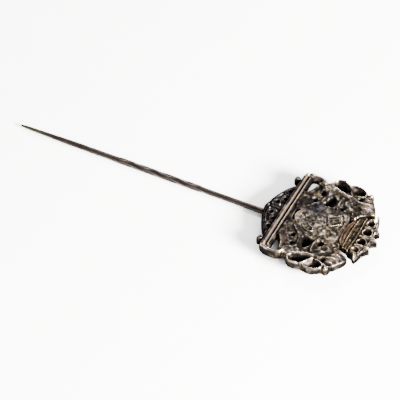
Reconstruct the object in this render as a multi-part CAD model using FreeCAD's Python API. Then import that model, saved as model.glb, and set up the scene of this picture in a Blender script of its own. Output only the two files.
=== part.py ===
import FreeCAD, Part
import math
import os

from FreeCAD import Vector

# Hat pin: a straight pointed wire shank with a twisted grip, soldered behind a
# pierced heraldic head (crown, shield, two rampant supporters, plinth, apron).
# Millimetres.  Origin on the shank's axis where the shank leaves the head.
# +Y towards the crown, the shank runs along -Y, +Z out of the head's face.

# ---------------------------------------------------------------- dimensions
MODULE = 0.235            # drafting module of the head: one grid step in mm
Y_SHIFT = 56.5            # grid steps from the head's centre to the origin

WIRE_R = 0.65             # 16 gauge shank wire
TWIST_R = 0.80            # across the corners of the twisted square grip, halved
TWIST_PITCH = -24.0       # length of one full turn of the grip, left-handed
TANG_R = 0.62             # hammered many-sided where the shank runs behind the head
TANG_END = 19.8           # inner end of the shank, behind the shield
TANG_FLAT = 0.40          # flat filed on the tang where it is soldered
GRIP_START = -15.6        # twisted grip, nearest the head
GRIP_END = -38.7          # twisted grip, nearest the tip
TAPER_START = -48.6       # the long point begins
TAPER_MID = -55.5
TIP_END = -63.9
TAPER_MID_R = 0.45
TIP_R = 0.22

PAD_HALF_WIDTH = 2.1      # solder pad between tang and base sheet
PAD_START = 1.5
PAD_END = 20.6

Z_BASE_BOTTOM = 1.30      # pierced base sheet
Z_BASE_TOP = 1.90
Z_LINING = 2.45           # floor of the crown's opening
Z_POINTS = 3.30           # crown leaves
Z_CIRCLET = 3.35          # crown band, below its stones
Z_FIELD = 3.30            # shield face
Z_RELIEF = 3.60           # supporters, tails and plinth
Z_APRON = 3.10            # pierced apron
STONE_H = 0.30
CANTON_H = 0.28

EDGE = 0.22               # softened upper edges


# ------------------------------------------------------------------- helpers
def P(x, y):
    return (MODULE * x, MODULE * (y + Y_SHIFT))


def prism(points, z0, z1):
    pts = [Vector(px, py, z0) for px, py in (P(x, y) for x, y in points)]
    wire = Part.makePolygon(pts + [pts[0]])
    return Part.Face(wire).extrude(Vector(0, 0, z1 - z0))


def disc(x, y, r, z0, z1):
    cx, cy = P(x, y)
    return Part.makeCylinder(MODULE * r, z1 - z0, Vector(cx, cy, z0))


def oval(x, y, rx, ry, z0, z1, n=28, turn=0.0):
    a = math.radians(turn)
    pts = []
    for i in range(n):
        t = 2 * math.pi * i / n
        u, v = rx * math.cos(t), ry * math.sin(t)
        pts.append((x + u * math.cos(a) - v * math.sin(a),
                    y + u * math.sin(a) + v * math.cos(a)))
    return prism(pts, z0, z1)


def mirror(points):
    return [(-x, y) for x, y in reversed(points)]


def both(points):
    """Close a right-hand half outline, given top to bottom, about x = 0."""
    left = [(-x, y) for x, y in reversed(points) if abs(x) > 1e-6]
    return points + left


def fuse(shapes):
    out = shapes[0]
    if len(shapes) > 1:
        out = out.multiFuse(shapes[1:])
    return out.removeSplitter()


def largest(shape):
    solids = sorted(shape.Solids, key=lambda s: s.Volume)
    return solids[-1]


def bevel_top(solid, z, size):
    """Chamfer the straight edges that bound the upper face."""
    edges = [e for e in solid.Edges
             if abs(e.BoundBox.ZMin - z) < 1e-6 and abs(e.BoundBox.ZMax - z) < 1e-6
             and e.Length > 2.5 * size]
    for s in (size, size * 0.6, size * 0.35):
        try:
            out = solid.makeChamfer(s, edges)
            if out.isValid() and len(out.Solids) == 1 and out.Volume > 0.6 * solid.Volume:
                return out.Solids[0]
        except Exception:
            pass
    return solid


# ----------------------------------------------------------- head drawing (grid)
crown_half = [(0, 67), (2.2, 63.4), (5.2, 60.6), (9.2, 60.8), (12.6, 64.2),
              (15.4, 61.0), (19.2, 58.6), (24.2, 57.8), (30.6, 56.0),
              (28.6, 53.0), (26.2, 50.2)]
circlet_half = [(0, 47.6), (13, 47.2), (20.0, 46.8), (25.2, 46.6), (24.0, 45.6), (21.6, 43.4),
                (20.4, 38.6), (11, 37.6), (0, 37.2)]
lining_half = [(0, 37.2), (11, 37.6), (16.4, 37.6), (15.2, 34.4), (10.5, 32.0),
               (4.5, 30.8), (0, 30.5)]
shield_half = [(0, 29.2), (12, 29.6), (22.6, 28.6), (23.2, 20), (22.4, 8),
               (19.6, -4), (14.6, -12.4), (8.2, -18.6), (0, -22.2)]
canton = [(-17.4, 21.9), (-5.0, 28.0), (3.6, 15.9), (-8.4, 9.4)]

side_outline = [(18.6, 38.0), (27.0, 39.4), (29.6, 44.6), (32.0, 49.4),
                (36.4, 48.4), (39.6, 46.8), (44.0, 43.6), (49.4, 40.6),
                (51.6, 38.8), (54.6, 38.4), (56.6, 36.0), (55.6, 32.2),
                (58.6, 27.7), (61.5, 22.7), (61.8, 17.7), (60.7, 12.7),
                (59.9, 8.7), (61.2, 4.7), (61.5, 0.7), (59.5, -3.3),
                (55.6, -6.3), (53.3, -8.3), (52.6, -10.4), (56.4, -14.2),
                (57.6, -16.5)]
plinth_end_outline = [(57.6, -16.5), (57.8, -21), (57.2, -25.3), (56.6, -29.3),
                      (54.8, -33.0), (50.6, -35.4)]
# from the plinth's corner down round the side scroll and the apron to the middle
apron_outline = [(50.6, -35.4), (45.6, -35.4), (47.4, -38.4), (47.2, -41.8),
                 (44.6, -43.4), (41.8, -42.2), (40.6, -39.4), (38.4, -38.2),
                 (36.8, -40.2), (32.2, -43.7), (27.2, -46.8), (22.2, -49.2),
                 (17.2, -51.4), (11.4, -53.2), (6.6, -54.1), (3.4, -55.4),
                 (0, -55.9)]

round_piercings = [(26.2, 17.5, 2.4), (44.5, 28.7, 2.2), (37.0, -8.5, 2.3),
                   (26.0, -12.3, 2.0), (25.5, -39.6, 1.8), (14.5, -39.6, 1.4),
                   (7.5, -45.2, 1.8), (19.3, 51.9, 3.1), (7.1, 53.4, 3.8)]
leg_gap = [(23.9, 2.2), (25.4, 7.2), (29.0, 8.6), (33.4, 7.0), (36.8, 3.6),
           (34.0, 0.2), (29.0, -1.6), (25.4, -1.8)]
tail_gap_upper = [(50.4, 28.6), (53.2, 29.2), (55.8, 26.0), (56.6, 21.0),
                  (55.2, 17.2), (52.4, 16.4), (50.2, 19.0), (49.6, 24.0)]
tail_gap_lower = [(50.6, 10.6), (53.6, 11.6), (56.4, 9.0), (57.2, 4.6),
                  (56.0, 0.6), (53.0, -1.4), (50.8, 1.2), (50.0, 6.0)]
window = [(35.0, -27.6), (51.8, -27.6), (52.4, -23.6), (51.4, -20.4),
          (47.4, -19.0), (43.0, -20.2), (38.8, -22.6), (35.2, -25.4)]


def piercings(z0, z1, right_through=False):
    """The drilled holes and windows; the sunk hollows too, unless right_through."""
    out = []
    shaped = (window,) if right_through else (leg_gap, tail_gap_upper, tail_gap_lower, window)
    for s in (1, -1):
        for x, y, r in round_piercings:
            out.append(disc(s * x, y, 0.6 * r if right_through else r, z0, z1))
        for poly in shaped:
            pts = poly if s == 1 else mirror(poly)
            out.append(prism(pts, z0, z1))
    return out


def pierce(shape, right_through=False):
    return largest(shape.cut(Part.Compound(piercings(-1.0, 6.0, right_through))))


# ------------------------------------------------------------------ base sheet
outline = (crown_half + [(24.6, 47.4), (21.6, 43.4), (20.4, 38.6)]
           + side_outline + plinth_end_outline[1:] + apron_outline[1:])
base_plate = pierce(prism(both(outline), Z_BASE_BOTTOM, Z_BASE_TOP), True)

# ------------------------------------------------------------ upper level parts
crown_points = pierce(prism(both(crown_half + [(25.2, 46.6), (20.0, 46.8), (13, 47.2),
                                               (0, 47.6)]),
                            Z_BASE_TOP, Z_POINTS))
crown_circlet = prism(both(circlet_half), Z_BASE_TOP, Z_CIRCLET)
crown_circlet = bevel_top(largest(crown_circlet), Z_CIRCLET, EDGE)
crown_points = bevel_top(largest(crown_points), Z_POINTS, EDGE)

crown_lining = prism(both(lining_half), Z_BASE_TOP, Z_LINING)
shield = prism(both(shield_half), Z_BASE_TOP, Z_FIELD)
shield = largest(shield)
shield_canton = bevel_top(largest(prism(canton, Z_FIELD, Z_FIELD + CANTON_H)),
                          Z_FIELD + CANTON_H, 0.12)

stones = []
for x, rx in ((0, 2.6), (-8.9, 2.0), (8.9, 2.0), (-17.2, 1.7), (17.2, 1.7)):
    cx, cy = P(x, 42.0)
    r = MODULE * rx
    ball = Part.makeSphere((r * r + STONE_H * STONE_H) / (2 * STONE_H),
                           Vector(cx, cy, Z_CIRCLET + STONE_H
                                  - (r * r + STONE_H * STONE_H) / (2 * STONE_H)))
    cap = ball.common(Part.makeBox(4, 4, 2, Vector(cx - 2, cy - 2, Z_CIRCLET)))
    stones.append(largest(cap))
circlet_stones = Part.Compound(stones)

# supporters: from the shield's side out to the tail, and down to the plinth
PLINTH_TOP = -28.0
supporter_half = [(18.6, 38.0), (27.0, 39.4), (29.6, 44.6), (32.0, 49.4),
                  (36.4, 48.4), (39.6, 46.8), (44.0, 43.6), (48.2, 41.2),
                  (48.2, 30.6), (48.6, 14.0), (48.8, -2.0), (49.0, -10.0),
                  (51.0, -12.6), (50.4, -16.8), (44.6, -17.6), (38.0, -20.6),
                  (29.0, -26.0), (27.4, PLINTH_TOP), (6.0, PLINTH_TOP),
                  (8.2, -18.6), (14.6, -12.4), (19.6, -4), (22.4, 8),
                  (23.2, 20), (22.6, 28.6), (17.2, 31.2), (16.4, 34.4)]
tail_half = [(48.2, 41.2), (49.4, 40.6), (51.6, 38.8), (54.6, 38.4),
             (56.6, 36.0), (55.6, 32.2), (58.6, 27.7), (61.5, 22.7),
             (61.8, 17.7), (60.7, 12.7), (59.9, 8.7), (61.2, 4.7),
             (61.5, 0.7), (59.5, -3.3), (55.6, -6.3), (53.3, -8.3),
             (52.6, -10.4), (51.0, -12.6), (49.0, -10.0), (48.8, -2.0),
             (48.6, 14.0), (48.2, 30.6)]
plinth_end_half = [(52.6, -10.4), (56.4, -14.2), (57.6, -16.5), (57.8, -21),
                   (57.2, -25.3), (56.6, -29.3), (54.8, -33.0), (50.6, -35.4),
                   (50.6, -26.6), (53.2, -26.6), (53.6, -22.0), (52.6, -18.6),
                   (50.4, -16.8), (51.0, -12.6)]
plinth_half = [(0, PLINTH_TOP), (27.4, PLINTH_TOP), (50.6, -26.6),
               (50.6, -35.4), (0, -35.4)]
apron_half = [(0, -35.4), (38.0, -35.4), (38.4, -38.2), (36.8, -40.2),
              (32.2, -43.7), (27.2, -46.8), (22.2, -49.2), (17.2, -51.4),
              (11.4, -53.2), (6.6, -54.1), (3.4, -55.4), (0, -55.9)]
scroll_half = [(38.0, -35.4), (45.6, -35.4), (47.4, -38.4), (47.2, -41.8),
               (44.6, -43.4), (41.8, -42.2), (40.6, -39.4), (38.4, -38.2)]


def side_part(points, z1, sign, edge=EDGE):
    pts = points if sign == 1 else mirror(points)
    solid = prism(pts, Z_BASE_TOP, z1)
    solid = pierce(solid)
    return bevel_top(solid, z1, edge)


supporter_right = side_part(supporter_half, Z_RELIEF, 1)
supporter_left = side_part(supporter_half, Z_RELIEF, -1)
tail_right = side_part(tail_half, Z_RELIEF - 0.15, 1)
tail_left = side_part(tail_half, Z_RELIEF - 0.15, -1)
plinth_end_right = side_part(plinth_end_half, Z_RELIEF, 1)
plinth_end_left = side_part(plinth_end_half, Z_RELIEF, -1)
apron_scroll_right = side_part(scroll_half, Z_APRON, 1)
apron_scroll_left = side_part(scroll_half, Z_APRON, -1)
plinth_bar = pierce(prism(both(plinth_half), Z_BASE_TOP, Z_RELIEF))
plinth_bar = bevel_top(plinth_bar, Z_RELIEF, EDGE)
apron_fan = pierce(prism(both(apron_half), Z_BASE_TOP, Z_APRON))
apron_fan = bevel_top(apron_fan, Z_APRON, EDGE)

# ---------------------------------------------------------------- pin and joint
Y_AXIS = Vector(0, 1, 0)


def rod(r, y0, y1):
    return Part.makeCylinder(r, y1 - y0, Vector(0, y0, 0), Y_AXIS)


def cone(r0, r1, y0, y1):
    return Part.makeCone(r0, r1, y1 - y0, Vector(0, y0, 0), Y_AXIS)


def tang_prism(y0, y1):
    pts = []
    for i in range(12):
        a = math.radians(15 + 30 * i)
        pts.append(Vector(TANG_R * math.cos(a), y0, min(TANG_R * math.sin(a), TANG_FLAT)))
    return Part.Face(Part.makePolygon(pts + [pts[0]])).extrude(Vector(0, y1 - y0, 0))


def twisted_square(r, y0, y1, pitch, steps):
    """A square bar turned about its own axis, as flat facets between steps."""
    rings = []
    for i in range(steps + 1):
        y = y0 + (y1 - y0) * i / steps
        a0 = 2 * math.pi * (y - y0) / pitch
        rings.append([Vector(r * math.cos(a0 + k * math.pi / 2), y,
                             r * math.sin(a0 + k * math.pi / 2)) for k in range(4)])

    def facet(*p):
        return Part.Face(Part.makePolygon(list(p) + [p[0]]))

    faces = [facet(*rings[0]), facet(*rings[-1])]
    for a, b in zip(rings, rings[1:]):
        for k in range(4):
            m = (k + 1) % 4
            faces.append(facet(a[k], a[m], b[m]))
            faces.append(facet(a[k], b[m], b[k]))
    bar = Part.Solid(Part.Shell(faces))
    if bar.Volume < 0:
        bar.reverse()
    return bar


tang = tang_prism(0.0, TANG_END)
tip = Part.makeSphere(TIP_R, Vector(0, TIP_END + TIP_R, 0))
pin_shank = fuse([
    tang,
    rod(WIRE_R, GRIP_START, 0.0),
    twisted_square(TWIST_R, GRIP_END, GRIP_START, TWIST_PITCH, 44),
    rod(WIRE_R, TAPER_START, GRIP_END),
    cone(TAPER_MID_R, WIRE_R, TAPER_MID, TAPER_START),
    cone(TIP_R, TAPER_MID_R, TIP_END + TIP_R, TAPER_MID),
    tip,
])
pin_shank = largest(pin_shank)

solder_pad = Part.makeBox(2 * PAD_HALF_WIDTH, PAD_END - PAD_START,
                          Z_BASE_BOTTOM - TANG_FLAT,
                          Vector(-PAD_HALF_WIDTH, PAD_START, TANG_FLAT))
pad_edges = [e for e in solder_pad.Edges
             if abs(e.BoundBox.ZLength - (Z_BASE_BOTTOM - TANG_FLAT)) < 1e-6]
solder_pad = solder_pad.makeFillet(1.2, pad_edges)
solder_pad = largest(solder_pad.cut(Part.Compound(piercings(-1.0, 6.0))))

fillets = []
for s in (1, -1):
    sect = [(s * 0.30, TANG_FLAT), (s * 1.15, TANG_FLAT), (s * 0.76, 0.22),
            (s * 0.62, -0.05), (s * 0.30, -0.05)]
    pts = [Vector(x, PAD_START + 0.5, z) for x, z in sect]
    bar = Part.Face(Part.makePolygon(pts + [pts[0]])).extrude(
        Vector(0, TANG_END - 0.6 - PAD_START - 0.5, 0))
    fillets.append(largest(bar.cut(tang_prism(-1.0, TANG_END + 2))))
solder_fillets = Part.Compound(fillets)

# ---------------------------------------------------------------------- export
NODES = {
    "pin_shank": pin_shank,
    "solder_pad": solder_pad,
    "solder_fillets": solder_fillets,
    "base_plate": base_plate,
    "crown_points": crown_points,
    "crown_circlet": crown_circlet,
    "circlet_stones": circlet_stones,
    "crown_lining": crown_lining,
    "shield": shield,
    "shield_canton": shield_canton,
    "supporter_left": supporter_left,
    "supporter_right": supporter_right,
    "tail_left": tail_left,
    "tail_right": tail_right,
    "plinth_bar": plinth_bar,
    "plinth_end_left": plinth_end_left,
    "plinth_end_right": plinth_end_right,
    "apron_fan": apron_fan,
    "apron_scroll_left": apron_scroll_left,
    "apron_scroll_right": apron_scroll_right,
}

os.makedirs("parts", exist_ok=True)
for name, shape in NODES.items():
    shape.exportStep(os.path.join("parts", name + ".step"))
    bb = shape.BoundBox
    print("%-20s solids %d valid %s vol %8.3f  x %.2f..%.2f y %.2f..%.2f z %.2f..%.2f" % (
        name, len(shape.Solids), shape.isValid(), shape.Volume,
        bb.XMin, bb.XMax, bb.YMin, bb.YMax, bb.ZMin, bb.ZMax))
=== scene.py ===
import bpy
import math
import numpy as np
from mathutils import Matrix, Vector


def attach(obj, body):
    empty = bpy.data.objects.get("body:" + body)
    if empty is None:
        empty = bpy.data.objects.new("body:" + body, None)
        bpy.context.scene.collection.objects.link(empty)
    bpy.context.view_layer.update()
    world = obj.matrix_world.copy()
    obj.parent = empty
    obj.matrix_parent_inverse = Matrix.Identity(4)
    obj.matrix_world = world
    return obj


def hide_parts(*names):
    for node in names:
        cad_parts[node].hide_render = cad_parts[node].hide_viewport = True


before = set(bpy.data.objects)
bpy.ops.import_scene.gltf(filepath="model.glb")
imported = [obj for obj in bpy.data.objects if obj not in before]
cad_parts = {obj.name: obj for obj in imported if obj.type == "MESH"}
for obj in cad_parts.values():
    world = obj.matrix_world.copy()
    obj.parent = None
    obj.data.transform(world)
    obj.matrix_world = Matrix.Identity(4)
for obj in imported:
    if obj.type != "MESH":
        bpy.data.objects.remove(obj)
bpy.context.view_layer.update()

MM = 0.001
U = 0.235            # one drafting unit of the head, in mm
YS = 56.5            # units from the head's centre to the origin
G = 0.09             # sculpting grid, mm

# =============================================================== sculpt engine
X0, X1, Y0, Y1 = -15.3, 15.3, -0.7, 30.0
NX = int((X1 - X0) / G) + 1
NY = int((Y1 - Y0) / G) + 1
xs = X0 + G * np.arange(NX)
ys = Y0 + G * np.arange(NY)
XU, YU = np.meshgrid(xs / U, ys / U - YS, indexing="ij")
ZV0, ZV1 = 1.00, 4.30
zs = ZV0 + G * np.arange(int((ZV1 - ZV0) / G) + 1)
NZ = len(zs)
GU = G / U


def smax(a, b, k):
    h = np.clip(0.5 + 0.5 * (a - b) / k, 0, 1)
    return b + (a - b) * h + k * h * (1 - h)


def smin(a, b, k):
    return -smax(-a, -b, k)


def catmull(pts, closed=False, n=7):
    p = np.asarray(pts, float)
    m = len(p)
    if m < 3 and not closed:
        t = np.linspace(0, 1, n + 1)[:, None]
        return p[0] * (1 - t) + p[-1] * t
    out = []
    segs = m if closed else m - 1
    for i in range(segs):
        if closed:
            a, b, c, d = p[(i - 1) % m], p[i], p[(i + 1) % m], p[(i + 2) % m]
        else:
            a, b, c, d = p[max(i - 1, 0)], p[i], p[i + 1], p[min(i + 2, m - 1)]
        for t in np.linspace(0, 1, n, endpoint=False):
            out.append(0.5 * ((2 * b) + (c - a) * t + (2 * a - 5 * b + 4 * c - d) * t * t
                              + (3 * b - a - 3 * c + d) * t ** 3))
    if not closed:
        out.append(p[-1])
    return np.array(out)


def window(pts, m):
    lo, hi = pts.min(0) - m, pts.max(0) + m
    i0 = int(np.clip((lo[0] * U - X0) / G, 0, NX - 1))
    i1 = int(np.clip((hi[0] * U - X0) / G + 2, 1, NX))
    j0 = int(np.clip(((lo[1] + YS) * U - Y0) / G, 0, NY - 1))
    j1 = int(np.clip(((hi[1] + YS) * U - Y0) / G + 2, 1, NY))
    return slice(i0, i1), slice(j0, j1)


def seg_dist(P, X, Y):
    """Distance to an open polyline and the position along it (0..1)."""
    L = np.concatenate([[0], np.cumsum(np.hypot(*np.diff(P, axis=0).T))])
    L /= max(L[-1], 1e-9)
    best = np.full(X.shape, 1e9)
    tt = np.zeros(X.shape)
    for i in range(len(P) - 1):
        ax, ay = P[i]
        dx, dy = P[i + 1] - P[i]
        q = dx * dx + dy * dy + 1e-12
        t = np.clip(((X - ax) * dx + (Y - ay) * dy) / q, 0, 1)
        d = (X - ax - t * dx) ** 2 + (Y - ay - t * dy) ** 2
        m = d < best
        best = np.where(m, d, best)
        tt = np.where(m, L[i] + t * (L[i + 1] - L[i]), tt)
    return np.sqrt(best), tt


def poly_sdf(P, X, Y):
    Q = np.vstack([P, P[:1]])
    d, _ = seg_dist(Q, X, Y)
    inside = np.zeros(X.shape, bool)
    for i in range(len(P)):
        x1, y1 = Q[i]
        x2, y2 = Q[i + 1]
        if y1 == y2:
            continue
        c = ((y1 > Y) != (y2 > Y)) & (X < (x2 - x1) * (Y - y1) / (y2 - y1) + x1)
        inside ^= c
    return np.where(inside, -d, d)


def prof(t, kind):
    t = np.clip(t, 0, 1)
    if kind == "round":
        return np.sqrt(1 - t * t)
    if kind == "tent":
        return 1 - t
    if kind == "flat":
        return np.clip((1 - t) * 3.0, 0, 1) ** 0.6
    return 0.5 + 0.5 * np.cos(math.pi * t)


rng = np.random.RandomState(4211)


def field_noise(wave, seed, X=None, Y=None):
    """Smooth random field, about -1..1, wave in drafting units."""
    r = np.random.RandomState(seed)
    X = XU if X is None else X
    Y = YU if Y is None else Y
    out = np.zeros(X.shape)
    n = 26
    for i in range(n):
        a = r.uniform(0, 2 * math.pi)
        w = 2 * math.pi / (wave * r.uniform(0.7, 1.6))
        out += np.cos(w * (math.cos(a) * X + math.sin(a) * Y) + r.uniform(0, 6.28))
    return out / math.sqrt(n) / 1.4


class Relief:
    """One piece of the head: outline D (units, negative inside) and top height H (mm)."""

    def __init__(self, sign=1):
        self.D = np.full(XU.shape, 1e3)
        self.H = np.full(XU.shape, -5.0)
        self.sign = sign

    def pts(self, pts, closed=False, n=7, smooth=True):
        p = np.asarray(pts, float).copy()
        p[:, 0] *= self.sign
        return catmull(p, closed, n) if smooth else p

    def area(self, pts, z, smooth=True, grow=0.0, raw=False, k=0.01):
        P = self.pts(pts, True, 5, smooth)
        w = window(P, 3.0)
        d = poly_sdf(P, XU[w], YU[w]) - grow
        self.D[w] = smin(self.D[w], d, k) if k > 0.02 else np.minimum(self.D[w], d)
        self.H[w] = np.where(d < 2.5, np.maximum(self.H[w], z), self.H[w])
        return self

    def stroke(self, pts, w, h, z=None, kind="round", closed=False, k=0.12, solid=False,
               blend=0.0):
        """z given: a form with its own level (max). z None: added onto what is there."""
        P = self.pts(pts, closed)
        if closed:
            P = np.vstack([P, P[:1]])
        ws = np.atleast_1d(np.asarray(w, float))
        hs = np.atleast_1d(np.asarray(h, float))
        win = window(P, ws.max() + 0.8)
        d, t = seg_dist(P, XU[win], YU[win])
        wt = np.interp(t, np.linspace(0, 1, len(ws)), ws) if len(ws) > 1 else ws[0]
        ht = np.interp(t, np.linspace(0, 1, len(hs)), hs) if len(hs) > 1 else hs[0]
        p = prof(d / wt, kind)
        if z is None:
            self.H[win] = self.H[win] + ht * p * (d < wt)
        else:
            zt = np.interp(t, np.linspace(0, 1, len(np.atleast_1d(z))), np.atleast_1d(z)) \
                if np.ndim(z) else z
            new = np.where(d < wt * 1.02, zt + ht * p, -5.0)
            H = self.H[win]
            self.H[win] = np.where(new > -4, smax(H, new, k), H)
        if solid:
            self.D[win] = smin(self.D[win], d - wt, 0.25)
        return self

    def dome(self, x, y, rx, ry, h, z=None, turn=0.0, k=0.15, solid=False, power=0.5):
        x *= self.sign
        turn = math.radians(turn * self.sign)
        win = window(np.array([[x, y]]), max(rx, ry) + 0.8)
        X, Y = XU[win] - x, YU[win] - y
        a = (X * math.cos(turn) + Y * math.sin(turn)) / rx
        b = (-X * math.sin(turn) + Y * math.cos(turn)) / ry
        q = np.sqrt(a * a + b * b)
        p = np.clip(1 - q * q, 0, 1) ** power
        if z is None:
            self.H[win] += h * p
        else:
            new = np.where(q < 1.02, z + h * p, -5.0)
            self.H[win] = np.where(new > -4, smax(self.H[win], new, k), self.H[win])
        if solid:
            self.D[win] = smin(self.D[win], (q - 1) * min(rx, ry), 0.25)
        return self

    def groove(self, pts, w, depth, closed=False, kind="cos"):
        return self.stroke(pts, w, -depth, kind=kind, closed=closed)

    def hole(self, x, y, r, soft=0.35, bevel=0.9, drop=0.25):
        x *= self.sign
        win = window(np.array([[x, y]]), r + 3.0)
        d = np.hypot(XU[win] - x, YU[win] - y)
        ang = np.arctan2(YU[win] - y, XU[win] - x)
        rr = r * (1 + 0.05 * np.cos(3 * ang + x) + 0.04 * np.cos(2 * ang + y))
        self.D[win] = smax(self.D[win], rr - d, soft)
        self.H[win] -= drop * np.clip(1 - (d - rr) / bevel, 0, 1) ** 2
        return self

    def cut(self, pts, soft=0.5, bevel=1.0, drop=0.25):
        P = self.pts(pts, True, 5)
        win = window(P, 4.0)
        d = poly_sdf(P, XU[win], YU[win])
        self.D[win] = smax(self.D[win], -d, soft)
        self.H[win] -= drop * np.clip(1 - d / bevel, 0, 1) ** 2 * (d > -1)
        return self

    def rough(self, amp, wave, seed):
        self.H += amp * field_noise(wave, seed)
        return self

    def volume(self, z_bottom, r=0.16, bottom_noise=None):
        m = self.D < 1.5
        I = np.where(m.any(1))[0]
        J = np.where(m.any(0))[0]
        i0, i1 = max(I[0] - 2, 0), min(I[-1] + 3, NX)
        j0, j1 = max(J[0] - 2, 0), min(J[-1] + 3, NY)
        D = self.D[i0:i1, j0:j1, None] * U
        H = self.H[i0:i1, j0:j1, None]
        zb = z_bottom
        if bottom_noise is not None:
            zb = z_bottom + bottom_noise[i0:i1, j0:j1, None]
        Z = zs[None, None, :]
        F = smax(np.broadcast_to(D, D.shape[:2] + (NZ,)), Z - H, r)
        F = smax(F, zb - Z, r * 0.7)
        return F.astype(np.float32), (i0, j0)


def surface_nets(F, origin, g):
    s = F < 0
    nx, ny, nz = F.shape
    cnt = np.zeros((nx - 1, ny - 1, nz - 1), np.int8)
    corners = [(i, j, k) for i in (0, 1) for j in (0, 1) for k in (0, 1)]
    for i, j, k in corners:
        cnt += s[i:nx - 1 + i, j:ny - 1 + j, k:nz - 1 + k]
    act = (cnt > 0) & (cnt < 8)
    idx = np.full(act.shape, -1, np.int64)
    cells = np.argwhere(act)
    idx[act] = np.arange(len(cells))
    v = {c: F[cells[:, 0] + c[0], cells[:, 1] + c[1], cells[:, 2] + c[2]] for c in corners}
    acc = np.zeros((len(cells), 3))
    num = np.zeros(len(cells))
    for a in corners:
        for ax in range(3):
            if a[ax] == 0:
                b = tuple(1 if q == ax else a[q] for q in range(3))
                fa, fb = v[a], v[b]
                m = (fa < 0) != (fb < 0)
                t = fa[m] / (fa[m] - fb[m])
                p = np.tile(np.array(a, float), (m.sum(), 1))
                p[:, ax] += t
                acc[m] += p
                num[m] += 1
    verts = origin + g * (cells + acc / num[:, None])
    faces = []
    for ax in range(3):
        lo = [slice(None)] * 3
        hi = [slice(None)] * 3
        lo[ax] = slice(0, F.shape[ax] - 1)
        hi[ax] = slice(1, F.shape[ax])
        a, b = s[tuple(lo)], s[tuple(hi)]
        e = np.argwhere(a != b)
        o1, o2 = [q for q in range(3) if q != ax]
        ok = (e[:, o1] > 0) & (e[:, o2] > 0) & (e[:, o1] < F.shape[o1] - 1) & (e[:, o2] < F.shape[o2] - 1)
        e = e[ok]
        quad = []
        for d1, d2 in ((-1, -1), (0, -1), (0, 0), (-1, 0)):
            c = e.copy()
            c[:, o1] += d1
            c[:, o2] += d2
            quad.append(idx[c[:, 0], c[:, 1], c[:, 2]])
        q = np.stack(quad, 1)
        flip = a[e[:, 0], e[:, 1], e[:, 2]]
        if ax == 1:
            flip = ~flip
        q[~flip] = q[~flip][:, ::-1]
        faces.append(q)
    faces = np.vstack(faces)
    return verts, faces[(faces >= 0).all(1)]


def box_blur(V, r):
    for _ in range(2):
        for ax in range(V.ndim):
            pad = [(0, 0)] * V.ndim
            pad[ax] = (r + 1, r)
            c = np.cumsum(np.pad(V, pad, mode="edge"), axis=ax, dtype=np.float32)
            n = V.shape[ax]
            hi = [slice(None)] * V.ndim
            lo = [slice(None)] * V.ndim
            hi[ax] = slice(2 * r + 1, 2 * r + 1 + n)
            lo[ax] = slice(0, n)
            V = (c[tuple(hi)] - c[tuple(lo)]) / (2 * r + 1)
    return V


def sample3(V, p, origin, g):
    q = (p - origin) / g
    i = np.clip(np.floor(q).astype(int), 0, np.array(V.shape) - 2)
    f = np.clip(q - i, 0, 1)
    out = 0
    for a in (0, 1):
        for b in (0, 1):
            for c in (0, 1):
                w = ((f[:, 0] if a else 1 - f[:, 0]) * (f[:, 1] if b else 1 - f[:, 1])
                     * (f[:, 2] if c else 1 - f[:, 2]))
                out = out + w * V[i[:, 0] + a, i[:, 1] + b, i[:, 2] + c]
    return out


def make_mesh(name, verts_mm, faces, attrs, mat, smooth=True):
    me = bpy.data.meshes.new(name)
    v = np.asarray(verts_mm, np.float64) * MM
    me.vertices.add(len(v))
    me.vertices.foreach_set("co", v.astype(np.float32).ravel())
    k = faces.shape[1]
    me.loops.add(len(faces) * k)
    me.loops.foreach_set("vertex_index", faces.astype(np.int32).ravel())
    me.polygons.add(len(faces))
    me.polygons.foreach_set("loop_start", np.arange(0, len(faces) * k, k, dtype=np.int32))
    me.polygons.foreach_set("loop_total", np.full(len(faces), k, np.int32))
    me.update(calc_edges=True)
    me.validate()
    if smooth:
        me.polygons.foreach_set("use_smooth", np.ones(len(me.polygons), bool))
    for key, val in attrs.items():
        a = me.attributes.new(key, "FLOAT", "POINT")
        a.data.foreach_set("value", np.asarray(val, np.float32))
    me.materials.append(mat)
    ob = bpy.data.objects.new(name, me)
    bpy.context.scene.collection.objects.link(ob)
    return ob


# ================================================================== materials
def nodes_of(name):
    m = bpy.data.materials.new(name)
    m.use_nodes = True
    nt = m.node_tree
    return m, nt, nt.nodes["Principled BSDF"], nt.links


def ramp(nt, stops, interp="LINEAR"):
    r = nt.nodes.new("ShaderNodeValToRGB")
    r.color_ramp.interpolation = interp
    el = r.color_ramp.elements
    while len(el) > 1:
        el.remove(el[-1])
    el[0].position, el[0].color = stops[0][0], (*stops[0][1], 1)
    for p, c in stops[1:]:
        e = el.new(p)
        e.color = (*c, 1)
    return r


def attr(nt, name):
    a = nt.nodes.new("ShaderNodeAttribute")
    a.attribute_name = name
    return a.outputs["Fac"]


def noise(nt, scale, detail=3.0, rough=0.55, stretch=None):
    tc = nt.nodes.new("ShaderNodeTexCoord")
    n = nt.nodes.new("ShaderNodeTexNoise")
    n.inputs["Scale"].default_value = scale
    n.inputs["Detail"].default_value = detail
    n.inputs["Roughness"].default_value = rough
    if stretch:
        mp = nt.nodes.new("ShaderNodeMapping")
        mp.inputs["Scale"].default_value = stretch
        nt.links.new(tc.outputs["Object"], mp.inputs["Vector"])
        nt.links.new(mp.outputs["Vector"], n.inputs["Vector"])
    else:
        nt.links.new(tc.outputs["Object"], n.inputs["Vector"])
    return n.outputs["Fac"]


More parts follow.
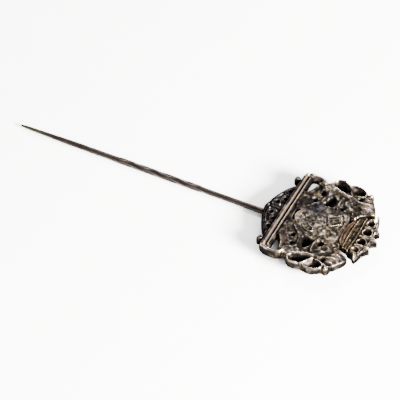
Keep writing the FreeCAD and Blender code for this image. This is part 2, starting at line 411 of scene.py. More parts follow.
def math_node(nt, op, a, b=None, c=None, clamp=False):
    m = nt.nodes.new("ShaderNodeMath")
    m.operation = op
    m.use_clamp = clamp
    for i, v in enumerate((a, b, c)):
        if v is None:
            continue
        if isinstance(v, (int, float)):
            m.inputs[i].default_value = v
        else:
            nt.links.new(v, m.inputs[i])
    return m.outputs[0]


def mixcol(nt, fac, a, b, mode="MIX"):
    m = nt.nodes.new("ShaderNodeMix")
    m.data_type = "RGBA"
    m.blend_type = mode
    for sock, v in ((m.inputs["Factor"], fac), (m.inputs["A"], a), (m.inputs["B"], b)):
        pass
    fa = m.inputs[0]
    ca = m.inputs[6]
    cb = m.inputs[7]
    for sock, v in ((fa, fac), (ca, a), (cb, b)):
        if isinstance(v, (int, float)):
            sock.default_value = v
        elif isinstance(v, tuple):
            sock.default_value = (*v, 1)
        else:
            nt.links.new(v, sock)
    return m.outputs[2]


def silver(name, dark, mid, light, edge, tint=None, r_lo=0.24, r_hi=0.62, bump=0.5):
    """Tarnished silver: darker in the recesses (patina there, and painted shade), mixed towards the bright edge
    colour on raised edges (rubbed wear, and painted highlight).
    """
    m, nt, bsdf, L = nodes_of(name)
    lift = attr(nt, "lift")
    wear_highlight = attr(nt, "wear_highlight")
    n1 = noise(nt, 420, 3, 0.6)
    n2 = noise(nt, 2600, 4, 0.6)
    w1 = math_node(nt, "MULTIPLY_ADD", n1, 0.55, -0.275)
    w2 = math_node(nt, "MULTIPLY_ADD", n2, 0.20, -0.10)
    f = math_node(nt, "ADD", lift, w1)
    f = math_node(nt, "ADD", f, w2, clamp=True)
    base = ramp(nt, [(0.0, dark), (0.30, tuple(0.5 * (a + b) for a, b in zip(dark, mid))),
                     (0.55, mid), (0.9, light)])
    L.new(f, base.inputs[0])
    e = math_node(nt, "MULTIPLY_ADD", wear_highlight, 1.0, w1)
    e = math_node(nt, "ADD", e, w2, clamp=True)
    col = mixcol(nt, e, base.outputs[0], edge)
    if tint is not None:
        for key, c in tint:
            a = attr(nt, key)
            col = mixcol(nt, a, col, mixcol(nt, 1.0, col, c, "MULTIPLY"))
    L.new(col, bsdf.inputs["Base Color"])
    rr = nt.nodes.new("ShaderNodeMapRange")
    rr.inputs["From Min"].default_value = 0.15
    rr.inputs["From Max"].default_value = 0.95
    rr.inputs["To Min"].default_value = r_hi
    rr.inputs["To Max"].default_value = r_lo
    L.new(math_node(nt, "MAXIMUM", f, e), rr.inputs["Value"])
    L.new(rr.outputs["Result"], bsdf.inputs["Roughness"])
    bsdf.inputs["Metallic"].default_value = 1.0
    bsdf.inputs["Specular Tint"].default_value = (0.45, 0.445, 0.45, 1)
    bp = nt.nodes.new("ShaderNodeBump")
    bp.inputs["Strength"].default_value = bump
    bp.inputs["Distance"].default_value = 0.00003
    L.new(math_node(nt, "ADD", n2, math_node(nt, "MULTIPLY", noise(nt, 9000, 2, 0.5), 0.35)),
          bp.inputs["Height"])
    L.new(bp.outputs["Normal"], bsdf.inputs["Normal"])
    return m


# The fourth colour of each finish is its bright edge colour: rubbed silver and painted highlight.
mat_relief = silver("silver_relief", (0.0036, 0.0031, 0.0029), (0.0104, 0.0089, 0.0077),
                    (0.047, 0.0405, 0.0342), (0.50, 0.375, 0.315),
                    tint=[("cool", (0.62, 0.76, 1.08)), ("olive", (1.0, 0.95, 0.66))])
mat_crown = silver("silver_crown", (0.0020, 0.0017, 0.0014), (0.0106, 0.0094, 0.0078),
                   (0.052, 0.0455, 0.0370), (0.46, 0.355, 0.29),
                   tint=[("olive", (1.0, 0.95, 0.70))])
mat_apron = silver("silver_apron", (0.0005, 0.0004, 0.0004), (0.0068, 0.0059, 0.0057),
                   (0.0240, 0.0212, 0.0205), (0.12, 0.102, 0.096))
mat_back = silver("silver_back", (0.0003, 0.00025, 0.0002), (0.0070, 0.0060, 0.0052),
                  (0.028, 0.025, 0.022), (0.12, 0.10, 0.09), r_lo=0.35, r_hi=0.7)
mat_gilt = silver("gilt_lining", (0.0010, 0.0004, 0.0003), (0.0170, 0.0098, 0.0055),
                  (0.060, 0.040, 0.0235), (0.26, 0.18, 0.12), r_lo=0.30, r_hi=0.6)
mat_solder = silver("solder", (0.003, 0.003, 0.003), (0.022, 0.022, 0.023),
                    (0.075, 0.075, 0.079), (0.25, 0.25, 0.25), r_lo=0.35, r_hi=0.6)


def wire_material():
    m, nt, bsdf, L = nodes_of("shank_wire")
    tc = nt.nodes.new("ShaderNodeTexCoord")
    sep = nt.nodes.new("ShaderNodeSeparateXYZ")
    L.new(tc.outputs["Object"], sep.inputs[0])
    streak = noise(nt, 1.0, 3, 0.5, stretch=(1500, 60, 1500))
    blot = noise(nt, 260, 3, 0.6)
    fine = noise(nt, 3600, 3, 0.6)
    f = math_node(nt, "ADD", math_node(nt, "MULTIPLY", streak, 0.25),
                  math_node(nt, "MULTIPLY_ADD", blot, 0.5, 0.18))
    base = ramp(nt, [(0.28, (0.0056, 0.0042, 0.0036)), (0.50, (0.0135, 0.0102, 0.0088)),
                     (0.66, (0.0220, 0.0170, 0.0148)), (0.85, (0.042, 0.0335, 0.0290))])
    L.new(f, base.inputs[0])
    # Flutes take a darker colour (tarnish and painted shade); the twist's corners take a bright colour (wear and
    # painted highlight).
    groove = attr(nt, "lift")
    col = mixcol(nt, groove, (0.012, 0.009, 0.008), base.outputs[0])
    wear_highlight = attr(nt, "wear_highlight")
    col = mixcol(nt, math_node(nt, "MULTIPLY", wear_highlight, fine, clamp=True), col, (0.62, 0.54, 0.50))
    tip = nt.nodes.new("ShaderNodeMapRange")
    tip.inputs["From Min"].default_value = -0.0525
    tip.inputs["From Max"].default_value = -0.0570
    L.new(math_node(nt, "MULTIPLY_ADD", blot, 0.004, sep.outputs["Y"]), tip.inputs["Value"])
    olive = ramp(nt, [(0.30, (0.0100, 0.0100, 0.0050)), (0.55, (0.0220, 0.0220, 0.0120)),
                      (0.8, (0.045, 0.046, 0.028))])
    L.new(f, olive.inputs[0])
    col = mixcol(nt, tip.outputs["Result"], col, olive.outputs[0])
    L.new(col, bsdf.inputs["Base Color"])
    bsdf.inputs["Metallic"].default_value = 0.80
    bsdf.inputs["Specular Tint"].default_value = (0.10, 0.085, 0.075, 1)
    rr = nt.nodes.new("ShaderNodeMapRange")
    rr.inputs["To Min"].default_value = 0.13
    rr.inputs["To Max"].default_value = 0.22
    L.new(fine, rr.inputs["Value"])
    L.new(rr.outputs["Result"], bsdf.inputs["Roughness"])
    bp = nt.nodes.new("ShaderNodeBump")
    bp.inputs["Strength"].default_value = 0.12
    bp.inputs["Distance"].default_value = 0.00003
    L.new(fine, bp.inputs["Height"])
    L.new(bp.outputs["Normal"], bsdf.inputs["Normal"])
    return m


mat_wire = wire_material()

# =================================================================== the head
Z_BACK = 1.30
PIERCED = [(26.2, 17.5, 2.5), (44.5, 28.7, 2.3), (37.0, -8.5, 2.3), (26.0, -12.3, 2.1)]
CROWN_HOLES = [(19.3, 51.9, 3.3), (7.1, 53.4, 4.0)]
APRON_HOLES = [(25.5, -39.6, 1.8), (14.5, -39.6, 1.5), (7.5, -45.2, 1.9)]
LEG_GAP = [(23.4, 2.0), (24.6, 6.6), (26.8, 8.8), (30.0, 8.2), (33.4, 7.4), (36.8, 4.4),
           (35.8, 1.4), (31.0, -0.4), (27.0, -1.4), (24.6, -2.4)]
GAP_UP = [(50.4, 20.0), (49.9, 23.6), (50.9, 27.0), (53.2, 28.4), (55.6, 26.8), (57.2, 23.2),
          (57.6, 19.4), (56.2, 17.2), (53.2, 17.8)]
GAP_LOW = [(57.6, 2.4), (57.2, -0.2), (55.4, -2.2), (52.6, -1.6), (50.6, 1.8), (49.5, 6.6),
           (48.9, 11.0), (50.2, 12.2), (53.2, 10.4), (56.4, 7.0)]
WINDOW = [(34.4, -26.7), (42.0, -26.8), (49.6, -26.6), (51.2, -23.8), (50.6, -21.0),
          (47.4, -19.8), (43.4, -20.6), (39.0, -22.4), (35.4, -24.8)]

crown_half = [(0, 67), (2.2, 63.4), (5.2, 60.6), (9.2, 60.8), (12.6, 64.2), (15.4, 61.0),
              (19.2, 58.6), (24.2, 57.8), (30.6, 56.0), (28.6, 53.0), (26.2, 50.2)]
SIDE = [(18.6, 38.0), (22.6, 36.6), (26.6, 39.0), (29.4, 44.6), (32.0, 49.4), (36.4, 48.4),
        (39.6, 46.8), (44.0, 43.6), (49.4, 40.6), (51.6, 38.8), (54.6, 38.4), (56.6, 36.0),
        (55.6, 32.2), (58.6, 27.7), (61.5, 22.7), (61.8, 17.7), (60.9, 13.4), (60.4, 9.2),
        (61.2, 4.7), (61.5, 0.7), (59.5, -3.3), (55.6, -6.3), (53.3, -8.3), (52.6, -10.4),
        (56.4, -14.2), (57.6, -16.5), (57.8, -21), (57.2, -25.3), (56.6, -29.3),
        (54.8, -33.0), (50.6, -35.4)]
APRON = [(45.6, -35.4), (47.4, -38.4), (47.2, -41.8), (44.6, -43.4), (41.8, -42.2),
         (40.6, -39.4), (38.4, -38.2), (36.8, -40.2), (32.2, -43.7), (27.2, -46.8),
         (22.2, -49.2), (17.2, -51.4), (11.4, -53.2), (6.6, -54.1), (3.4, -55.4), (0, -55.9)]


def whole(points):
    return list(points) + [(-x, y) for x, y in reversed(points) if abs(x) > 1e-6]


pieces = {}


def add(name, rel, mat, slot, nodes, zb=Z_BACK, r=0.16, bottom=None):
    pieces[name] = (rel, zb, mat, slot, nodes, r, bottom)


# ---- pierced back sheet
b = Relief()
b.area(whole(crown_half + [(24.6, 47.4), (21.6, 43.4), (20.4, 38.6)] + SIDE + APRON), 2.25,
       smooth=False, grow=-1.1)
for s in (1, -1):
    b.sign = s
    for x, y, r in PIERCED + CROWN_HOLES + APRON_HOLES:
        b.hole(x, y, 0.6 * r, drop=0)
    b.cut(WINDOW, drop=0)
    # The gaps are not cut through the back sheet; it floors them lower down, a dark floor that stands in for the
    # shade seen through them.
    for gpts in (LEG_GAP, GAP_UP, GAP_LOW):
        d = poly_sdf(b.pts(gpts, True, 5), XU, YU)
        b.H = np.where(d < 0.6, np.minimum(b.H, 1.78), b.H)
    b.cut([(20.6, 35.0), (24.2, 36.8), (28.6, 43.0), (30.6, 49.6), (27.0, 50.6), (22.4, 43.8),
           (20.4, 38.6)], drop=0)
b.sign = 1
b.D += 0.15
b.rough(0.04, 5, 11).rough(0.013, 2.4, 12)
back_bottom = 0.05 * field_noise(9, 71) + 0.02 * field_noise(2.2, 72)
add("base_plate_sheet", b, mat_back, "back_metal", ["base_plate"], bottom=back_bottom, r=0.12)

# ---- crown leaves
c = Relief()
c.area(whole(crown_half + [(24.8, 46.0), (20.0, 45.6), (13, 45.8), (0, 46.2)]), 3.02, smooth=False)
c.D = c.D - 0.25 + 0.22 * field_noise(3.4, 5)
leaf = [((0, 49), (0, 57), (0, 65.0), (4.2, 4.6, 2.0), 0.50),
        ((12.8, 49), (12.8, 56.5), (12.7, 62.8), (3.8, 4.4, 2.0), 0.48),
        ((-12.8, 49), (-12.8, 56.5), (-12.7, 62.8), (3.8, 4.4, 2.0), 0.48),
        ((23.0, 50.0), (26.2, 53.4), (29.6, 55.2), (4.2, 4.4, 2.0), 0.56),
        ((-23.0, 50.0), (-26.2, 53.4), (-29.6, 55.2), (4.2, 4.4, 2.0), 0.56)]
for p0, p1, p2, w, h in leaf:
    c.stroke([p0, p1, p2], w, h, kind="cos")
c.stroke([(0, 60.6), (0, 66)], (2.4, 1.3), (0.25, 0.35), kind="cos")
c.dome(0, 62.6, 4.4, 3.6, 0.34, power=0.8)
for s in (1, -1):
    c.sign = s
    c.stroke([(12.7, 59.6), (12.7, 63.4)], (2.2, 1.3), (0.22, 0.32), kind="cos")
    c.dome(12.6, 61.0, 4.2, 3.2, 0.32, power=0.8)
    c.dome(25.6, 54.6, 4.4, 3.0, 0.34, turn=25, power=0.8)
    c.stroke([(26.8, 53.8), (30.2, 55.6)], (2.4, 1.4), (0.22, 0.34), kind="cos")
    for x, y, r in CROWN_HOLES:
        c.stroke([(x + (r + 1.0) * math.cos(a), y + (r + 1.0) * math.sin(a))
                  for a in np.linspace(0, 2 * math.pi, 13)[:-1]], 1.3, 0.24, closed=True,
                 kind="cos")
        c.hole(x, y, r, bevel=0.8, drop=0.15)
    c.stroke([(3.0, 60.4), (6.8, 60.0), (10.2, 60.2)], 1.0, 0.20, kind="cos")
    c.stroke([(15.4, 59.4), (18.6, 58.2), (23.0, 57.0)], 1.0, 0.22, kind="cos")
c.sign = 1
c.rough(0.04, 5, 21).rough(0.007, 2.4, 22)
add("crown_leaves", c, mat_crown, "silver_relief", ["crown_points"], r=0.22)

# ---- circlet
c = Relief()
c.area([(-25.0, 46.4), (-13, 47.0), (0, 47.4), (13, 47.0), (25.0, 46.4), (23.8, 45.0),
        (22.0, 42.4), (20.8, 38.4), (11, 37.4), (0, 37.0), (-11, 37.4), (-20.8, 38.4),
        (-22.0, 42.4), (-23.8, 45.0)], 3.02, smooth=False)
c.stroke([(-23.6, 45.0), (-12.5, 45.6), (0, 45.9), (12.5, 45.6), (23.6, 45.0)], 1.3, 0.40,
         kind="cos")
c.stroke([(-21.4, 39.2), (-11, 38.5), (0, 38.3), (11, 38.5), (21.4, 39.2)], 1.5, 0.32,
         kind="cos")
c.stroke([(-22.0, 42.2), (-11, 42.0), (0, 41.9), (11, 42.0), (22.0, 42.2)], 1.2, 0.10,
         kind="cos")
for s in (1, -1):
    c.sign = s
    c.dome(23.2, 45.2, 1.8, 1.6, 0.14)
c.sign = 1
c.rough(0.05, 6, 31).rough(0.012, 2.4, 32)
add("crown_circlet_band", c, mat_crown, "silver_relief", ["crown_circlet"], r=0.18)

c = Relief()
for x, rx, ry in ((0, 3.2, 1.9), (-8.9, 2.4, 1.7), (8.9, 2.4, 1.7), (-17.2, 2.2, 1.6),
                  (17.2, 2.2, 1.6)):
    c.dome(x, 42.0, rx, ry, 0.20, z=2.98, solid=True, k=0.02)
c.rough(0.02, 2.4, 33)
add("circlet_stone_set", c, mat_crown, "silver_relief", ["circlet_stones"], zb=2.85, r=0.05)

# ---- the crown's opening
c = Relief()
c.area([(-19.8, 38.2), (0, 38.4), (19.8, 38.2), (18.4, 36.0), (12.8, 32.6), (6, 30.9),
        (0, 30.5), (-6, 30.9), (-12.8, 32.6), (-18.4, 36.0)], 2.92)
c.stroke([(-15, 36.2), (0, 34.6), (15, 36.2)], 2.6, 0.16, kind="cos")
for i, yy in enumerate((36.8, 35.2, 33.4)):
    hw = (17, 14.0, 9.5)[i]
    c.stroke([(-hw, yy + 0.5), (0, yy - 0.2), (hw, yy + 0.5)], 0.6, 0.05, kind="cos")
c.stroke([(-18.4, 36.2), (-12.8, 32.6), (-6, 30.9), (0, 30.4), (6, 30.9), (12.8, 32.6),
          (18.4, 36.2)], 1.0, 0.14, kind="cos")
c.rough(0.04, 6, 35).rough(0.009, 2.4, 36)
add("crown_lining_cap", c, mat_gilt, "gilt_lining", ["crown_lining"])

# ---- shield
c = Relief()
SH = [(0, 29.6), (12, 30.0), (23.2, 29.0), (23.6, 20), (22.8, 8), (20.0, -4), (15.0, -12.8),
      (8.6, -19.4), (0, -23.0)]
c.area(whole(SH), 3.03, smooth=False)
c.H += 0.26 * np.clip(1 - (XU / 30) ** 2, 0, 1) * np.clip(1 - ((YU - 5) / 38) ** 2, 0, 1)
rim = [(0, 28.4), (12, 28.8), (21.8, 27.8), (22.2, 20), (21.4, 8), (18.6, -3.6),
       (13.8, -12.0), (7.8, -18.0), (0, -21.4)]
c.stroke(whole(rim), 1.2, 0.05, closed=True, kind="cos")
rs = np.random.RandomState(23)
for i in range(30):
    bx, by = rs.uniform(-18, 19), rs.uniform(-17, 13)
    if by < -6 and abs(bx) > 11 or (bx < -6 and by < 6):
        continue
    c.dome(bx, by, rs.uniform(1.4, 3.4), rs.uniform(1.1, 2.4), rs.uniform(0.05, 0.13)
           * (1 if i % 3 else -1), turn=rs.uniform(0, 180), power=0.9)
for i in range(10):
    c.dome(rs.uniform(4, 19), rs.uniform(15, 26), rs.uniform(1.2, 3.0), rs.uniform(0.8, 1.6),
           rs.uniform(0.04, 0.08), turn=rs.uniform(40, 110), power=0.9)
c.stroke([(9.2, -2.6), (10.0, 1.4), (13.0, 3.2), (15.8, 1.0), (15.4, -3.4), (12.6, -7.6),
          (8.2, -11.4)], (1.0, 1.4, 1.5, 1.4, 1.2, 0.8), 0.26, kind="cos")
c.dome(12.0, -1.5, 1.4, 1.7, 0.22)
c.dome(-2.5, -11.3, 1.6, 1.5, 0.22)
c.stroke([(-6.6, -14.8), (-1.0, -14.2), (4.4, -13.0)], 1.3, 0.10, kind="cos")
c.stroke([(-5.6, 0.6), (-1.0, 0.9), (3.6, -0.4)], 1.4, 0.12, kind="cos")
c.dome(-15.5, -4.0, 8.0, 8.0, -0.10, turn=20, power=1.0)
c.dome(-17.0, 1.6, 1.8, 1.6, 0.14)
c.dome(-12.5, -11.2, 2.6, 1.6, 0.12, turn=30)
c.stroke([(-20.6, 12.4), (-16.4, 9.6), (-12.0, 4.6)], 1.2, 0.13, kind="cos")
c.stroke([(-21.4, 26.4), (-12, 28.0), (-2, 27.6), (8, 28.2)], 0.8, 0.10, kind="cos")
for i in range(4):
    c.stroke([(10.2 + 2.2 * i, -16.0 + 2.0 * i), (12.4 + 2.2 * i, -10.8 + 1.8 * i)], 0.9, 0.08,
             kind="cos")
c.groove([(-16.8, 22.6), (-11, 25.9), (-6.4, 27.8)], 0.8, 0.22)
c.groove([(1.8, 21.4), (4.6, 16.2)], 0.8, 0.20)
c.groove([(-9.6, 8.4), (-3.2, 10.8), (2.6, 13.6)], 0.9, 0.18)
c.dome(-17.0, 22.0, 1.3, 1.0, -0.80).dome(-2.0, 25.6, 1.1, 2.0, -0.85, turn=20)
c.rough(0.030, 5, 41).rough(0.008, 2.4, 42)
add("shield_field", c, mat_relief, "silver_relief", ["shield"], r=0.14)

# ---- lattice panel on the shield
c = Relief()
A, B, C_, D_ = [np.array(p, float) for p in ((-16.6, 21.0), (-5.2, 26.8), (2.4, 15.7), (-8.8, 10.0))]
c.area([A, B, C_, D_], 3.36, smooth=False)
for i in range(4):
    t = i / 3
    edge_line = i in (0, 3)
    c.stroke([A + (B - A) * t, D_ + (C_ - D_) * t],
             (1.1 if i == 3 else 0.85) if edge_line else 0.75,
             (0.24 if i == 3 else 0.15) if edge_line else 0.12, z=3.36, kind="cos", k=0.02)
    c.stroke([A + (D_ - A) * t, B + (C_ - B) * t], 0.85 if edge_line else 0.75,
             0.15 if edge_line else 0.10, z=3.36, kind="cos", k=0.02)
c.rough(0.025, 2.6, 45).rough(0.012, 1.3, 46)
add("shield_canton_panel", c, mat_relief, "silver_relief", ["shield_canton"], zb=3.0, r=0.10)

# ---- plinth
c = Relief()
c.area([(-51.6, -26.9), (-31.6, -27.0), (-28.0, -24.6), (-13, -23.0), (0, -22.8), (13, -23.0),
        (28.0, -24.6), (31.6, -27.0), (51.6, -26.9), (52.4, -34.0), (50.6, -37.4),
        (-50.6, -37.4), (-52.4, -34.0)], 2.66, smooth=False)
c.stroke([(-49.4, -29.0), (0, -29.2), (49.4, -29.0)], (1.15, 1.05, 1.15), 0.94, z=2.62,
         kind="round")
c.stroke([(-49.6, -35.2), (0, -35.4), (49.6, -35.2)], 1.7, 1.00, z=2.60, kind="round")
c.stroke([(-49.6, -33.9), (0, -34.1), (49.6, -33.9)], 1.9, 1.02, z=2.60, kind="round")
c.stroke([(-49.4, -32.7), (0, -32.9), (49.4, -32.7)], 0.95, 1.12, z=2.60, kind="round")
c.stroke([(-28, -25.4), (-14, -24.3), (-2, -24.4), (6, -23.4), (14, -21.8)],
         (0.6, 0.7, 0.8, 1.1, 0.9), (0.42, 0.46, 0.55, 0.72, 0.60), z=2.62, kind="cos")
c.stroke([(2, -25.0), (14, -24.6), (28, -25.6)], 0.6, 0.34, z=2.62, kind="cos")
c.groove([(-51, -30.9), (0, -31.1), (51, -30.9)], 0.7, 0.30)
c.rough(0.03, 7, 51).rough(0.006, 2.4, 52)
add("plinth_bar_moulding", c, mat_relief, "silver_relief", ["plinth_bar"], r=0.20)

# ---- apron: a domed, pierced fan
c = Relief()
APR = [(0, -35.2), (38.6, -35.2), (38.8, -38.4), (36.8, -40.4), (32.2, -43.9), (27.2, -47.0),
       (22.2, -49.5), (17.2, -51.7), (11.4, -53.5), (6.6, -54.4), (3.4, -55.7), (0, -56.2)]
c.area(whole(APR), 2.30, smooth=False)
c.H = np.where(c.H > -4, 2.26 + 0.72 * (1 - np.exp(-np.clip(-c.D, 0, 30) / 3.6)), c.H)
for s in (1, -1):
    c.sign = s
    for x, y, r in APRON_HOLES:
        c.stroke([(x + (r + 1.1) * math.cos(a), y + (r + 1.1) * math.sin(a))
                  for a in np.linspace(0, 2 * math.pi, 13)[:-1]], 1.25, 0.26,
                 closed=True, kind="cos")
    c.stroke([(30.8, -38.4), (29.8, -42.0), (25.8, -44.0), (20.8, -42.6), (19.4, -39.0)],
             1.2, 0.26, kind="cos")
    c.stroke([(20.4, -45.4), (16.0, -47.6), (11.2, -48.8), (6.0, -49.2), (2.0, -48.4)],
             (0.9, 1.3, 1.4, 1.0), 0.28, kind="cos")
    c.stroke([(19.8, -38.2), (17.8, -42.2), (12.6, -43.2), (10.4, -40.4), (11.4, -37.4)],
             1.1, 0.26, kind="cos")
    c.stroke([(6.6, -37.4), (4.6, -41.0), (2.8, -45.0), (3.8, -49.0)], (1.3, 1.5, 1.3, 0.9),
             0.26, kind="cos")
    c.stroke([(35.0, -38.6), (31.6, -41.8), (26.8, -45.0), (21.6, -47.6), (15.8, -50.0),
              (9.4, -51.6), (4.0, -52.2)], (0.9, 1.1, 1.2, 1.1), 0.16, kind="cos")
    c.groove([(33.0, -42.0), (28.0, -45.4), (22.4, -48.2), (16.4, -50.7), (10.4, -52.3)], 0.5,
             0.10)
    c.dome(33.0, -38.2, 2.0, 1.6, 0.26, turn=-30)
    c.dome(4.2, -41.8, 1.9, 1.7, 0.30)
    c.dome(21.6, -46.6, 1.3, 1.1, 0.18)
c.sign = 1
c.stroke([(0, -37.6), (0, -43), (0, -51.5)], (1.0, 1.5, 1.1), 0.26, kind="cos")
c.dome(0, -53.0, 2.9, 2.6, 0.52, power=0.8)
c.groove([(-3.6, -54.6), (-3.2, -52.0), (0, -50.2), (3.2, -52.0), (3.6, -54.6)], 0.5, 0.14)
for s in (1, -1):
    c.sign = s
    for x, y, r in APRON_HOLES:
        c.hole(x, y, r, bevel=0.9, drop=0.16)
    c.hole(33.4, -40.2, 0.9, bevel=0.7, drop=0.12)
c.sign = 1
c.rough(0.03, 4, 61).rough(0.008, 2.4, 62)
add("apron_fan_tracery", c, mat_apron, "apron_metal", ["apron_fan"], r=0.26)

# ---- pieces that come in mirrored pairs
for s, side in ((1, "right"), (-1, "left")):
    sd = 0 if s == 1 else 300
    # scroll knob beside the apron
    c = Relief(s)
    c.area([(39.4, -35.0), (46.0, -35.0), (47.2, -38.2), (46.4, -40.4), (41.6, -40.4),
            (39.8, -38.2)], 2.55)
    c.dome(44.2, -40.4, 3.6, 3.5, 1.05, z=2.45, solid=True)
    c.stroke([(44.4, -40.2), (45.4, -41.2), (44.2, -42.2), (42.4, -41.0), (43.0, -38.8),
              (45.4, -38.4), (46.8, -40.6)], 0.75, 0.22, kind="cos")
    c.dome(44.3, -40.3, 1.0, 1.0, -0.40)
    c.rough(0.03, 2.4, 65 + sd)
    add("apron_scroll_" + side + "_volute", c, mat_apron, "apron_metal",
        ["apron_scroll_" + side], r=0.18)

    # upright end of the plinth: the supporter's outer leg and paw
    c = Relief(s)
    c.area([(50.0, -9.6), (53.4, -10.4), (56.6, -14.2), (58.0, -17.0), (58.2, -21.0),
            (58.0, -25.3), (57.6, -29.3), (55.8, -33.8), (51.8, -37.6), (49.6, -34.0),
            (50.2, -27.0), (51.8, -23.4), (51.2, -20.2), (48.8, -18.6), (48.4, -14.0)], 2.72)
    c.stroke([(49.6, -12.4), (53.4, -15.4), (55.2, -19.5), (55.0, -24.0), (54.4, -28.6),
              (52.6, -33.6)], (3.2, 3.4, 3.1, 3.2, 3.6, 3.4), (0.75, 0.85, 0.75, 0.8, 0.95, 0.9),
             kind="cos")
    c.dome(54.4, -28.6, 3.2, 3.0, 0.30, power=1.0)
    c.dome(52.2, -34.4, 3.2, 2.8, 0.30, power=1.0)
    c.groove([(57.8, -11.6), (54.6, -12.6), (51.6, -11.8)], 1.0, 0.45)
    for i in range(3):
        c.groove([(52.8 + 1.6 * i, -26.8), (53.0 + 1.7 * i, -29.6), (52.6 + 1.7 * i, -31.4)],
                 0.5, 0.10)
    c.rough(0.03, 4.5, 67 + sd).rough(0.006, 2.4, 68 + sd)
    add("plinth_end_" + side + "_leg", c, mat_relief, "silver_relief", ["plinth_end_" + side],
        r=0.34)

    # tail: two open loops with a crossing strand
    c = Relief(s)
    c.area([(46.0, 31.5), (48.6, 39.4), (51.4, 39.4), (54.8, 39.0), (57.2, 36.4), (56.4, 32.6),
            (59.2, 28.2), (61.9, 23.0), (62.2, 17.7), (61.2, 13.4), (60.9, 9.6), (61.9, 5.2),
            (62.1, 0.4), (60.2, -3.8), (56.4, -6.8), (53.9, -9.0), (52.6, -11.4), (48.6, -10.4),
            (46.4, -4.0), (45.6, 10.0), (45.6, 20.0)], 2.72)
    c.stroke([(60.2, 6.2), (60.5, 1.2), (58.6, -3.2), (54.2, -5.4), (50.2, -3.6), (48.0, 1.4),
              (46.8, 7.4), (46.2, 13.4)], (2.2, 2.2, 2.2, 2.2, 2.0, 1.8, 1.8), 0.62, kind="cos")
    c.stroke([(44.6, 20.4), (47.8, 17.6), (52.0, 15.2), (56.0, 12.6), (59.0, 9.0), (60.2, 4.2),
              (59.6, -1.0)],
             (2.2, 2.3, 2.4, 2.4, 2.2, 2.0, 1.6), (0.5, 0.75, 0.85, 0.8, 0.6, 0.4, 0.2), kind="cos")
    c.stroke([(58.8, 13.4), (60.4, 17.4), (60.2, 22.4), (58.2, 27.6), (54.6, 30.9),
              (50.4, 30.6), (48.0, 26.8), (47.4, 21.6)], (1.6, 2.0, 2.0, 2.0, 1.9, 1.8), 0.62,
             kind="cos")
    c.dome(54.0, 35.9, 3.3, 3.0, 0.95, power=0.7)
    c.stroke([(49.4, 39.2), (50.6, 35.2), (49.2, 31.6)], (1.5, 1.6, 1.3), 0.5, kind="cos")
    c.stroke([(46.6, 35.0), (48.0, 32.0), (47.2, 30.0)], (1.2, 1.2, 1.0), 0.35, kind="cos")
    c.dome(52.2, -7.8, 2.8, 2.6, 0.45, turn=-30, power=0.9)
    c.groove([(51.6, 38.6), (51.8, 35.4), (51.6, 32.4)], 0.6, 0.26)
    c.dome(54.6, 36.4, 0.9, 0.9, -0.30)
    c.cut(GAP_UP, bevel=1.0, drop=0.15, soft=0.8)
    c.cut(GAP_LOW, bevel=1.0, drop=0.15, soft=0.8)
    c.hole(44.5, 28.7, 2.3, bevel=1.0, drop=0.2)
    c.rough(0.03, 5, 81 + sd).rough(0.005, 2.4, 82 + sd)
    add("tail_" + side + "_loops", c, mat_relief, "silver_relief", ["tail_" + side], r=0.34)

    # supporter: a rampant beast that faces the shield, worn almost smooth
    c = Relief(s)
    c.area([(17.0, 31.4), (17.4, 35.4), (20.4, 35.4), (24.4, 37.2), (28.4, 42.4), (30.2, 47.2),
            (32.4, 49.4), (36.6, 48.9), (40.2, 47.2), (44.4, 44.2), (49.0, 41.2), (49.8, 38.2),
            (48.6, 30.6), (47.6, 22.0), (47.4, 14.0), (48.6, 2.0), (50.4, -3.0), (50.6, -9.0),
            (52.4, -12.0), (51.4, -17.0), (47.6, -18.6), (42.4, -19.6), (37.2, -21.8),
            (33.0, -24.4), (31.6, -27.2), (14.0, -27.2), (7.0, -24.0), (8.0, -18.0),
            (13.8, -11.6), (18.6, -4), (21.4, 8), (22.2, 20), (21.8, 28.0)], 3.04, smooth=False)
    c.stroke([(23.0, 30.0), (23.6, 20.0), (22.8, 8.0), (20.0, -4.0), (15.0, -12.8), (8.6, -19.4)],
             (1.6, 1.8, 1.8, 1.8, 2.0, 2.0), 0.12, kind="cos")
    c.H += 0.10 * field_noise(6.5, 77 + sd)
    # haunch, back and shoulder: broad soft forms
    c.dome(43.4, -4.4, 9.4, 8.4, 0.66, turn=20, power=1.15)
    c.stroke([(44.2, 2.0), (44.6, 12.0), (43.4, 22.0), (40.6, 30.0)], (4.4, 4.2, 4.4, 4.0), 0.34,
             kind="cos")
    c.dome(35.0, 20.2, 6.4, 6.0, 0.48, turn=-20, power=1.1)
    c.dome(27.8, 24.8, 5.0, 3.6, 0.50, turn=-25, power=1.0)
    c.stroke([(41.8, 15.8), (39.4, 20.6), (35.0, 24.0), (33.2, 29.2)], (1.0, 1.3, 1.3, 1.0),
             0.26, kind="cos")
    c.stroke([(39.4, 12.6), (36.8, 16.0), (32.0, 18.4), (30.4, 22.6)], (0.9, 1.2, 1.2, 0.8),
             0.18, kind="cos")
    c.stroke([(52.0, -11.0), (51.0, -3.4), (47.6, 3.0), (45.2, 9.0), (43.9, 15.0), (44.4, 20.0)],
             (1.6, 2.0, 2.0, 1.9, 1.6, 1.2), (0.30, 0.46, 0.46, 0.42, 0.34, 0.2), kind="cos")
    c.stroke([(47.4, -17.6), (44.0, -12.6), (38.6, -10.4)], (1.4, 2.0, 1.6), 0.30, kind="cos")
